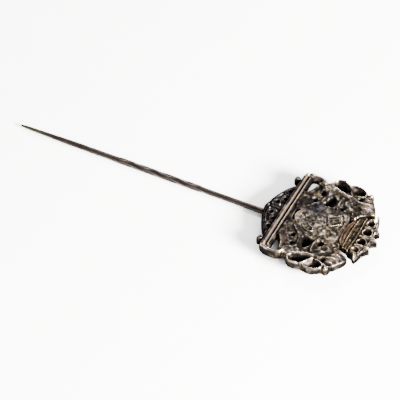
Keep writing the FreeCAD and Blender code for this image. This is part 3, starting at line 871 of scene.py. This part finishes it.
    # forelegs that reach onto the shield
    c.stroke([(38.6, 12.4), (32.6, 11.6), (26.0, 12.0), (20.6, 14.2)], (3.2, 2.6, 2.3, 2.5),
             (0.34, 0.38, 0.40, 0.48), kind="cos")
    c.dome(20.2, 14.0, 2.7, 2.4, 0.42, z=2.98, solid=True)
    c.stroke([(26.2 + 4.6 * math.cos(a), 17.5 + 4.6 * math.sin(a))
              for a in np.linspace(math.radians(-30), math.radians(200), 9)],
             (0.7, 1.1, 1.1, 0.7), 0.22, kind="cos")
    c.stroke([(31.6, 27.0), (26.8, 28.6), (22.2, 30.2)], (2.6, 2.3, 2.4), (0.30, 0.34, 0.42),
             kind="cos")
    c.dome(21.2, 30.4, 2.6, 2.2, 0.40, z=2.95, solid=True, turn=-15)
    for i in range(3):
        c.groove([(18.8, 12.8 + 1.3 * i), (21.2, 13.0 + 1.3 * i)], 0.45, 0.10)
    # inner hind leg with a banded shin
    c.stroke([(40.6, -2.0), (34.8, -3.4), (28.4, -4.8), (22.4, -7.0)], (3.2, 2.6, 2.3, 2.5),
             0.36, kind="cos")
    c.dome(21.0, -7.6, 2.7, 2.5, 0.42, z=2.98, solid=True)
    for i in range(5):
        xx = 28.0 + 2.3 * i
        c.groove([(xx - 0.6, -2.2), (xx + 0.6, -6.4)], 0.6, 0.13)
    # outer hind leg
    c.stroke([(43.8, -8.6), (46.4, -12.4), (50.0, -14.6), (52.6, -15.2)], (3.6, 3.4, 3.0, 2.8),
             0.34, kind="cos")
    # broken ground under the beast
    c.stroke([(48.6, -17.0), (42.6, -18.0), (37.0, -20.2), (32.6, -23.2)], (1.4, 1.5, 1.5, 1.3),
             0.20, kind="cos")
    c.stroke([(40.4, -13.2), (34.4, -13.6), (30.0, -17.2), (23.6, -20.8), (17.4, -23.0)],
             (1.6, 2.0, 1.9, 1.7, 1.3), 0.24, kind="cos")
    c.stroke([(31.6, -7.4), (30.6, -11.8), (31.6, -15.6)], (1.4, 1.7, 1.5), 0.22, kind="cos")
    c.groove([(44.6, -15.6), (38.4, -16.2), (33.6, -19.4), (27.6, -23.2)], 0.9, 0.26)
    c.groove([(28.8, -17.4), (21.8, -20.6), (13.0, -25.2)], 0.8, 0.20)
    for i in range(4):
        c.stroke([(12.4 + 2.6 * i, -18.6 + 2.5 * i), (16.6 + 2.6 * i, -14.2 + 2.4 * i)],
                 (0.9, 1.1), 0.24, kind="cos")
    rr = np.random.RandomState(17 + sd)
    for i in range(12):
        bx, by = rr.uniform(14, 41), rr.uniform(-26, -9.5)
        if by > -12 - 0.0 and bx < 20:
            continue
        c.dome(bx, by, rr.uniform(0.9, 1.6), rr.uniform(0.8, 1.4), rr.uniform(0.08, 0.18),
               turn=rr.uniform(0, 180), power=0.9)
    # head and mane
    c.dome(40.6, 38.4, 11.0, 8.8, 0.42, turn=-30, power=0.9)
    c.dome(26.6, 33.6, 3.6, 2.6, 0.34, turn=-20)
    c.dome(30.6, 36.6, 3.0, 2.8, 0.36)
    c.dome(33.0, 40.4, 1.9, 2.6, 0.30, turn=20)
    c.dome(28.6, 35.2, 0.8, 0.6, -0.22)
    c.groove([(23.6, 32.0), (26.0, 32.0), (28.6, 31.0)], 0.6, 0.20)
    for x0, y0, x1, y1, x2, y2, hh in ((35.4, 31.0, 34.6, 38.0, 36.6, 46.0, 0.52),
                                       (41.0, 32.0, 40.2, 37.6, 41.2, 43.4, 0.58),
                                       (46.6, 32.4, 46.2, 36.6, 46.8, 40.0, 0.50)):
        c.stroke([(x0, y0), (x1, y1), (x2, y2)], (1.8, 2.7, 2.7), (0.5 * hh, hh, 0.8 * hh),
                 kind="cos")
    c.groove([(30.8, 31.6), (31.0, 37.0), (31.6, 42.0)], 0.8, 0.14)
    c.dome(44.0, 40.0, 1.0, 0.9, -0.30)
    c.dome(19.6, 34.2, 1.5, 1.1, 0.34, turn=30).dome(22.6, 35.8, 1.1, 0.9, 0.30)
    body = c.H > 2.5
    c.H = np.where(body, 3.12 + 0.80 * (c.H - 3.04), c.H)
    fill = np.where(body, c.H, 3.1).astype(np.float32)
    soft, softer = box_blur(fill, 1), box_blur(box_blur(fill, 2), 1)
    lobe = np.clip((YU - 29.5) / 3.0, 0, 1) * np.clip((np.abs(XU) - 31.0) / 3.0, 0, 1)
    haunch = np.exp(-(((np.abs(XU) - 44) / 8.5) ** 2 + ((YU + 4) / 8.0) ** 2) * 1.5)
    mix = np.clip(np.maximum(lobe, haunch), 0, 1)
    c.H = np.where(body, soft * (1 - mix) + softer * mix, c.H)
    for x, y, r in PIERCED:
        c.hole(x, y, r, bevel=1.1, drop=0.30)
    c.cut(LEG_GAP, bevel=1.3, drop=0.30)
    c.cut(WINDOW, bevel=0.9, drop=0.20, soft=0.8)
    c.cut(GAP_UP, bevel=0.8, drop=0.15)
    c.cut(GAP_LOW, bevel=0.8, drop=0.15)
    c.rough(0.035, 5, 91 + sd).rough(0.009, 2.4, 92 + sd)
    add("supporter_" + side + "_beast", c, mat_relief, "silver_relief", ["supporter_" + side],
        r=0.26)

# ------------------------------------------------ volumes, shading fields, meshes
solid = np.zeros((NX, NY, NZ), np.float32)
built = []
for name, (rel, zb, mat, slot, nodes, r, bottom) in pieces.items():
    F, (i0, j0) = rel.volume(zb, r, bottom)
    a = solid[i0:i0 + F.shape[0], j0:j0 + F.shape[1]]
    np.maximum(a, (F < 0).astype(np.float32), out=a)
    built.append((name, F, (i0, j0), mat, slot, nodes))

org = np.array([X0, Y0, ZV0])
occ_s = box_blur(solid, 2)
occ_l = box_blur(solid, 7)
top = np.where(solid.any(2), ZV0 + G * (NZ - 1 - np.argmax(solid[:, :, ::-1], axis=2)), np.nan)
mask = ~np.isnan(top)
t0 = np.where(mask, top, 0).astype(np.float32)
wide = box_blur(t0, 9) / np.maximum(box_blur(mask.astype(np.float32), 9), 1e-3)


# Per-vertex colour fields. The first is darker where the blurred solid crowds round a point (patina in hollows,
# and painted shade), lighter on parts that stand above their surroundings and on the highest tops (less tarnish
# there, and painted light), and held dark on the low side walls (painted shade). The second is high on raised
# convex edges (rubbed wear, and painted highlight).
def shading(v):
    os_ = sample3(occ_s, v, org, G)
    ol = sample3(occ_l, v, org, G)
    i = np.clip(((v[:, 0] - X0) / G).astype(int), 0, NX - 1)
    j = np.clip(((v[:, 1] - Y0) / G).astype(int), 0, NY - 1)
    rel_h = v[:, 2] - wide[i, j]
    lift = 0.56 + 1.35 * (0.46 - os_) + 1.0 * (0.50 - ol) + 0.45 * np.clip(rel_h, -1.2, 0.8)
    lift += 0.14 * np.clip((v[:, 2] - 3.1) / 0.6, -1, 1)
    # Painted shade: the low side walls are kept dark.
    side = v[:, 2] < 2.3
    lift = np.where(side, np.minimum(lift, 0.30 + 0.10 * (v[:, 2] - 1.3)), lift)
    wear_highlight = np.clip((0.42 - os_) * 4.6, 0, 1) * np.clip((v[:, 2] - 2.7) / 0.5, 0, 1)
    return np.clip(lift, 0, 1), np.clip(wear_highlight, 0, 1)


PATCH_L = field_noise(5.0, 411)
PATCH_L = PATCH_L / PATCH_L.std()
PATCH_S = field_noise(1.7, 412)
HUE = field_noise(9.0, 413)
HUE = HUE / HUE.std()
PATCH_S = PATCH_S / PATCH_S.std()
objs = {}
for name, F, (i0, j0), mat, slot, nodes in built:
    F = np.pad(F, 1, constant_values=1.0)
    o = org + G * np.array([i0 - 1, j0 - 1, -1])
    v, f = surface_nets(F, o, G)
    lift, wear_highlight = shading(v)
    xu, yu = v[:, 0] / U, v[:, 1] / U - YS
    cool = np.exp(-(((xu + 15.5) / 10.0) ** 2 + ((yu + 5) / 10.0) ** 2) * 1.2)
    olive = np.exp(-(((yu - 43) / 7.5) ** 2)) * 0.9 * np.clip((30 - np.abs(xu)) / 6, 0, 1) + 0.5 * np.exp(-(((yu - 20) / 22) ** 2 + ((xu - 20) / 26) ** 2))
    gi = np.clip(((v[:, 0] - X0) / G).astype(int), 0, NX - 1)
    gj = np.clip(((v[:, 1] - Y0) / G).astype(int), 0, NY - 1)
    patch = PATCH_L[gi, gj]
    speck = PATCH_S[gi, gj]
    lift = np.clip(0.96 * lift - 0.03 + 0.07 * patch + 0.035 * speck, 0, 1)
    hue = HUE[gi, gj]
    olive = np.maximum(olive, np.clip(0.65 * hue, 0, 0.9))
    cool = np.maximum(cool, np.clip(-0.30 * hue - 0.05, 0, 0.5))
    ax = np.abs(xu)
    # Painted shade: darker inside the pierced holes and the gaps, with no bright edge colour there.
    for hx, hy, hr in PIERCED + CROWN_HOLES + APRON_HOLES:
        dh = np.hypot(ax - hx, yu - hy) - hr
        k = np.clip((0.25 - dh) / 0.3, 0, 1) * (v[:, 2] > 1.45)
        lift, wear_highlight = lift * (1 - 0.9 * k), wear_highlight * (1 - k)
    for gpts in (LEG_GAP, GAP_UP, GAP_LOW):
        dg = poly_sdf(catmull(gpts, True, 5), ax, yu)
        k = np.clip((0.2 - dg) / 0.3, 0, 1) * (v[:, 2] > 1.45)
        lift, wear_highlight = lift * (1 - 0.85 * k), wear_highlight * (1 - k)
    if name in ("shield_field", "shield_canton_panel"):
        pale = np.exp(-((xu - 3) / 15) ** 2 - ((yu - 4) / 17) ** 2)
        lift = np.clip(0.75 * lift + 0.08 + 0.26 * pale - 0.26 * cool + 0.07 * patch + 0.02 * speck,
                       0, 1)
        wear_highlight = (0.55 if name == "shield_field" else 0.95) * wear_highlight
    elif name == "apron_fan_tracery":
        lift, wear_highlight = 0.85 * lift, 0.55 * wear_highlight
    elif name.startswith("supporter"):
        # Painted highlight: lighter mane lobes with bright crests, and a bright band along the body's outer edge.
        lobe = np.clip((yu - 29.5) / 3.0, 0, 1) * np.clip((ax - 31.0) / 3.0, 0, 1)
        crest = np.clip((v[:, 2] - 3.42) / 0.30, 0, 1)
        wear_highlight = np.clip(1.1 * wear_highlight + 0.85 * lobe * crest, 0, 1)
        lift = np.clip(lift + 0.10 * lobe + 0.20 * lobe * crest, 0, 1)
        edge_r = np.exp(-((ax - np.interp(yu, [-11, -3.4, 3, 9, 15, 20], [52, 51, 47.6, 45.2, 43.9, 44.4])) / 1.5) ** 2) * (yu > -12) * (yu < 19)
        wear_highlight = np.clip(wear_highlight + 0.55 * edge_r, 0, 1)
        lift = np.clip(lift + 0.12 * edge_r, 0, 1)
        near_foot = np.clip((4 - yu) / 16, 0, 1) * np.clip((46 - np.abs(xu)) / 8, 0, 1)
        lift = lift - 0.16 * near_foot
        wear_highlight = wear_highlight * (1 - 0.45 * near_foot)
    elif name.startswith("tail_") or name.startswith("plinth_end_"):
        # Painted highlight on the crests of the tail loops and the leg.
        crest = np.clip((v[:, 2] - 3.05) / 0.35, 0, 1)
        lift = np.clip(lift + 0.14 * crest, 0, 1)
        wear_highlight = np.clip(np.maximum(1.15 * wear_highlight, 0.36 * crest), 0, 0.44)
        # Painted shade: the crossing strand is darkened and loses its bright edge colour, to damp its highlight.
        strand = np.exp(-((ax - 52.0) / 5.0) ** 2 - ((yu - 16.6) / 5.0) ** 2)
        lift, wear_highlight = lift * (1 - 0.72 * strand), wear_highlight * (1 - 0.97 * strand)
    elif name == "crown_circlet_band":
        wear_highlight = 0.28 * wear_highlight
    elif name == "crown_leaves":
        # Painted highlight on the tops of the leaves.
        wear_highlight = np.clip(1.2 * wear_highlight + 0.30 * np.clip((v[:, 2] - 3.30) / 0.3, 0, 1), 0, 1)
        lift = 0.86 * lift
    elif name == "plinth_bar_moulding":
        # Painted highlights: two thin bright lines along the moulding's ridges and a fainter one at its foot; the
        # rest of the bar is darkened.
        line_a = np.exp(-((yu + 32.7) / 0.75) ** 2)
        line_b = np.exp(-((yu + 29.4) / 0.60) ** 2)
        foot = np.exp(-((yu + 36.6) / 0.7) ** 2)
        lift = np.clip(0.42 * lift + 0.34 * np.maximum(line_a, line_b) + 0.12 * foot, 0, 1)
        wear_highlight = np.clip(0.12 * wear_highlight + 0.42 * np.maximum(line_a, line_b) + 0.14 * foot, 0, 1) \
            * (v[:, 2] > 3.0)
    # Painted shade: the back sheet's upward faces, seen as the floors of the gaps and holes, are made nearly
    # black, with no bright edge colour.
    if name == "base_plate_sheet":
        lift = np.where(v[:, 2] > 1.5, 0.25 * lift, lift)
        wear_highlight = 0 * wear_highlight
    ob = make_mesh(name, v, f, {"lift": lift, "wear_highlight": wear_highlight, "cool": np.clip(cool, 0, 1),
                                "olive": np.clip(olive, 0, 1)}, mat)
    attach(ob, "root")
    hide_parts(*nodes)
    objs[name] = ob
    print("piece", name, len(v), len(f))

# ================================================================ pin and joint
GRIP0, GRIP1 = -15.6, -38.7
TAPER0, TAPERM, TIP = -48.6, -55.5, -63.9
PITCH = -24.0


def wire_radius(y):
    r = 0.67
    if y < TAPER0:
        t = np.interp(y, [TIP, -63.0, -60.8, TAPERM, -51.8, TAPER0],
                      [0.22, 0.34, 0.43, 0.53, 0.62, 0.67])
        r = float(t)
    return r


ring_y = np.concatenate([np.arange(19.8, -16.0, -0.22), np.arange(-16.0, -39.4, -0.12),
                         np.arange(-39.4, -62.6, -0.22), np.linspace(-62.6, TIP, 9)])
NA = 40
th = np.linspace(0, 2 * math.pi, NA, endpoint=False)
verts, lifts, wear_highlights = [], [], []
for y in ring_y:
    r0 = wire_radius(y)
    if y > 19.3:
        r0 = 0.65 * math.sqrt(max(0.05, 1 - ((y - 19.3) / 0.52) ** 2))
    amt = np.clip((GRIP0 - y) / 1.4, 0, 1) * np.clip((y - GRIP1) / 1.4, 0, 1)
    amt = amt * amt * (3 - 2 * amt)
    ph = th - 2 * math.pi * y / PITCH
    n = 3.6
    sq = (np.abs(np.cos(ph)) ** n + np.abs(np.sin(ph)) ** n) ** (-1 / n)
    sq = sq / 1.148
    flute = 0.80 * (0.92 + 0.08 * np.clip((sq - 0.871) / 0.129, 0, 1)) \
        * (1 + 0.012 * np.cos(12 * ph) + 0.006 * math.sin(5.1 * y + 2 * math.sin(1.3 * y)))
    r = r0 * (1 - amt) + flute * amt
    wob = 1 + 0.006 * math.sin(y * 1.7) + 0.004 * math.sin(y * 4.3 + 1)
    r = r * wob
    if y > -0.05:
        lim = 0.395 / np.maximum(np.sin(th), 1e-6)
        r = np.where(np.sin(th) > 0, np.minimum(r, lim), r)
    verts.append(np.stack([r * np.cos(th), np.full(NA, y), r * np.sin(th)], 1))
    g = np.clip((sq - 0.871) / 0.129, 0, 1)
    # Darker in the twist's flutes (tarnish there, and painted shade) and bright on its corners (wear, and painted
    # highlight).
    lifts.append(1 - amt * 0.30 * (0.5 + 0.5 * np.cos(12 * ph)) * (0.6 + 0.4 * g))
    wear_highlights.append(0.10 * amt * np.clip((g - 0.72) / 0.28, 0, 1) ** 1.4 + 0 * g)
verts = np.vstack(verts)
nr = len(ring_y)
faces = []
for i in range(nr - 1):
    a = i * NA + np.arange(NA)
    b_ = i * NA + (np.arange(NA) + 1) % NA
    faces.append(np.stack([a, b_, b_ + NA, a + NA], 1))
faces = np.vstack(faces)
start_c = len(verts)
verts = np.vstack([verts, [[0, ring_y[0] + 0.02, -0.05]], [[0, TIP - 0.06, 0]]])
lift_all = np.concatenate([np.concatenate(lifts), [1, 1]])
wear_highlight_all = np.concatenate([np.concatenate(wear_highlights), [0, 0]])
caps = []
for k in range(NA):
    caps.append([start_c, (k + 1) % NA, k, k])
    e = (nr - 1) * NA
    caps.append([start_c + 1, e + k, e + (k + 1) % NA, e + (k + 1) % NA])


def mesh_from_lists(name, verts_mm, polys, attrs, mat):
    me = bpy.data.meshes.new(name)
    me.from_pydata([tuple(float(q) * MM for q in v) for v in verts_mm], [], polys)
    me.validate()
    me.polygons.foreach_set("use_smooth", np.ones(len(me.polygons), bool))
    for key, val in attrs.items():
        at = me.attributes.new(key, "FLOAT", "POINT")
        at.data.foreach_set("value", np.asarray(val, np.float32))
    me.materials.append(mat)
    ob = bpy.data.objects.new(name, me)
    bpy.context.scene.collection.objects.link(ob)
    return ob


polys = [tuple(int(q) for q in f) for f in faces] + [tuple(c[:3]) for c in caps]
pin = mesh_from_lists("pin_shank_wire", verts, polys, {"lift": lift_all, "wear_highlight": wear_highlight_all}, mat_wire)
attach(pin, "root")
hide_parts("pin_shank")

# solder pad and the two seams, as soft volumes
GX = 0.085
px = np.arange(-2.9, 2.9, GX)
py = np.arange(0.6, 21.8, GX)
pz = np.arange(-0.55, 1.75, GX)
PX, PY, PZ = np.meshgrid(px, py, pz, indexing="ij")
wav = 0.05 * np.cos(PY * 2.1) + 0.04 * np.cos(PY * 4.7 + 1) + 0.03 * np.cos(PX * 5 + PY)
qx = np.abs(PX) - (2.1 - 0.75)
qy = np.abs(PY - 11.05) - (9.55 - 0.75)
d2 = np.hypot(np.maximum(qx, 0), np.maximum(qy, 0)) + np.minimum(np.maximum(qx, qy), 0) - 0.75
pad = smax(smax(d2, PZ - 1.36, 0.1), 0.42 - PZ + 0.5 * wav * 0.4, 0.18)
for s in (1, -1):
    for hx, hy, hr in ((7.5, -45.2, 1.9),):
        dh = hr * U - np.hypot(PX - s * hx * U, PY - (hy + YS) * U)
        pad = smax(pad, dh, 0.08)
porg = np.array([px[0], py[0], pz[0]])
v, f = surface_nets(np.pad(pad.astype(np.float32), 1, constant_values=1.0), porg - GX, GX)
edge_d = np.minimum(2.1 - np.abs(v[:, 0]), 9.55 - np.abs(v[:, 1] - 11.05))
lift = np.clip(0.50 + 0.25 * np.exp(-edge_d * 4) - 0.35 * np.exp(-np.abs(np.abs(v[:, 0]) - 1.0) * 3), 0, 1)
ob = make_mesh("solder_pad_strip", v, f, {"lift": lift, "wear_highlight": np.clip(0.3 * np.exp(-edge_d * 6), 0, 1)}, mat_back)
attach(ob, "root")
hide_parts("solder_pad")

seam = None
for s in (1, -1):
    x = s * PX
    reach = 1.15 + 0.16 * np.cos(PY * 1.3 + s) + 0.08 * np.cos(PY * 3.9)
    concave = 0.62 - np.hypot(x - reach - 0.12, PZ + 0.17 - 0.02 * np.cos(PY * 2.6))
    body = smax(np.maximum(0.25 - x, x - reach), PZ - 0.46, 0.05)
    body = smax(body, concave, 0.10)
    body = smax(body, np.maximum(2.0 - PY, PY - 19.2), 0.4)
    body = smax(body, -0.30 - PZ, 0.1)
    seam = body if seam is None else np.minimum(seam, body)
v, f = surface_nets(np.pad(seam.astype(np.float32), 1, constant_values=1.0), porg - GX, GX)
ob = make_mesh("solder_seams", v, f, {"lift": np.clip(0.55 + 0.2 * np.cos(v[:, 1] * 1.9), 0, 1),
                                      "wear_highlight": np.zeros(len(v))}, mat_solder)
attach(ob, "root")
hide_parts("solder_fillets")

# ===================================================================== staging
floor_mat, nt, bsdf, L = nodes_of("floor_paper")
rampf = ramp(nt, [(0.3, (0.94, 0.94, 0.94)), (0.7, (0.96, 0.96, 0.955))])
L.new(noise(nt, 35, 2, 0.5), rampf.inputs[0])
L.new(rampf.outputs[0], bsdf.inputs["Base Color"])
bsdf.inputs["Roughness"].default_value = 0.85
bpy.ops.mesh.primitive_plane_add(size=3.0, location=(0, 0, -0.00083))
floor = bpy.context.object
floor.name = "floor"
floor.data.materials.append(floor_mat)

scene = bpy.context.scene
world = bpy.data.worlds.new("studio")
scene.world = world
world.use_nodes = True
wn = world.node_tree
bg = wn.nodes["Background"]
bg.inputs[0].default_value = (1.0, 1.0, 1.0, 1)
bg.inputs[1].default_value = 0.70

target = Vector((3.25, -15.12, 0.0)) * MM
AZ, EL = math.radians(116.0), math.radians(47.0)
to_cam = Vector((math.sin(AZ) * math.cos(EL), -math.cos(AZ) * math.cos(EL), math.sin(EL)))
right = Vector((math.cos(AZ), math.sin(AZ), 0.0))
toward = Vector((math.sin(AZ), -math.cos(AZ), 0.0))


def area_light(name, direction, dist, size, power, color=(1, 1, 1), aim=(0, 10, 2)):
    ld = bpy.data.lights.new(name, "AREA")
    ld.shape = "RECTANGLE"
    ld.size, ld.size_y = size
    ld.energy = power
    ld.color = color
    lo = bpy.data.objects.new(name, ld)
    a = Vector(aim) * MM
    d = direction.normalized()
    lo.location = a + d * dist
    lo.rotation_euler = (-d).to_track_quat("-Z", "Y").to_euler()
    scene.collection.objects.link(lo)
    return lo


area_light("top", right * 0.50 + toward * 0.60 + Vector((0, 0, 1.0)), 0.60, (0.30, 0.30), 4.0,
           (1.0, 0.985, 0.965))
area_light("side", right * 1.0 + toward * 0.85 + Vector((0, 0, 0.54)), 0.60, (0.24, 0.20), 98.0,
           (1.0, 0.985, 0.965))
area_light("card", toward * -0.68 + Vector((0, 0, 0.73)), 0.80, (0.80, 0.50), 6.0,
           (1.0, 0.99, 0.98))
area_light("strip", right * 0.04 - toward * 0.66 + Vector((0, 0, 0.75)), 0.80, (0.26, 0.10), 9.0,
           (1.0, 0.97, 0.95))

cam_data = bpy.data.cameras.new("camera")
cam_data.lens = 500
cam_data.sensor_width = 36
cam_data.clip_start = 0.01
cam = bpy.data.objects.new("camera", cam_data)
cam.location = target + to_cam * 1.3047
cam.rotation_euler = (-to_cam).to_track_quat("-Z", "Y").to_euler()
scene.collection.objects.link(cam)
scene.camera = cam
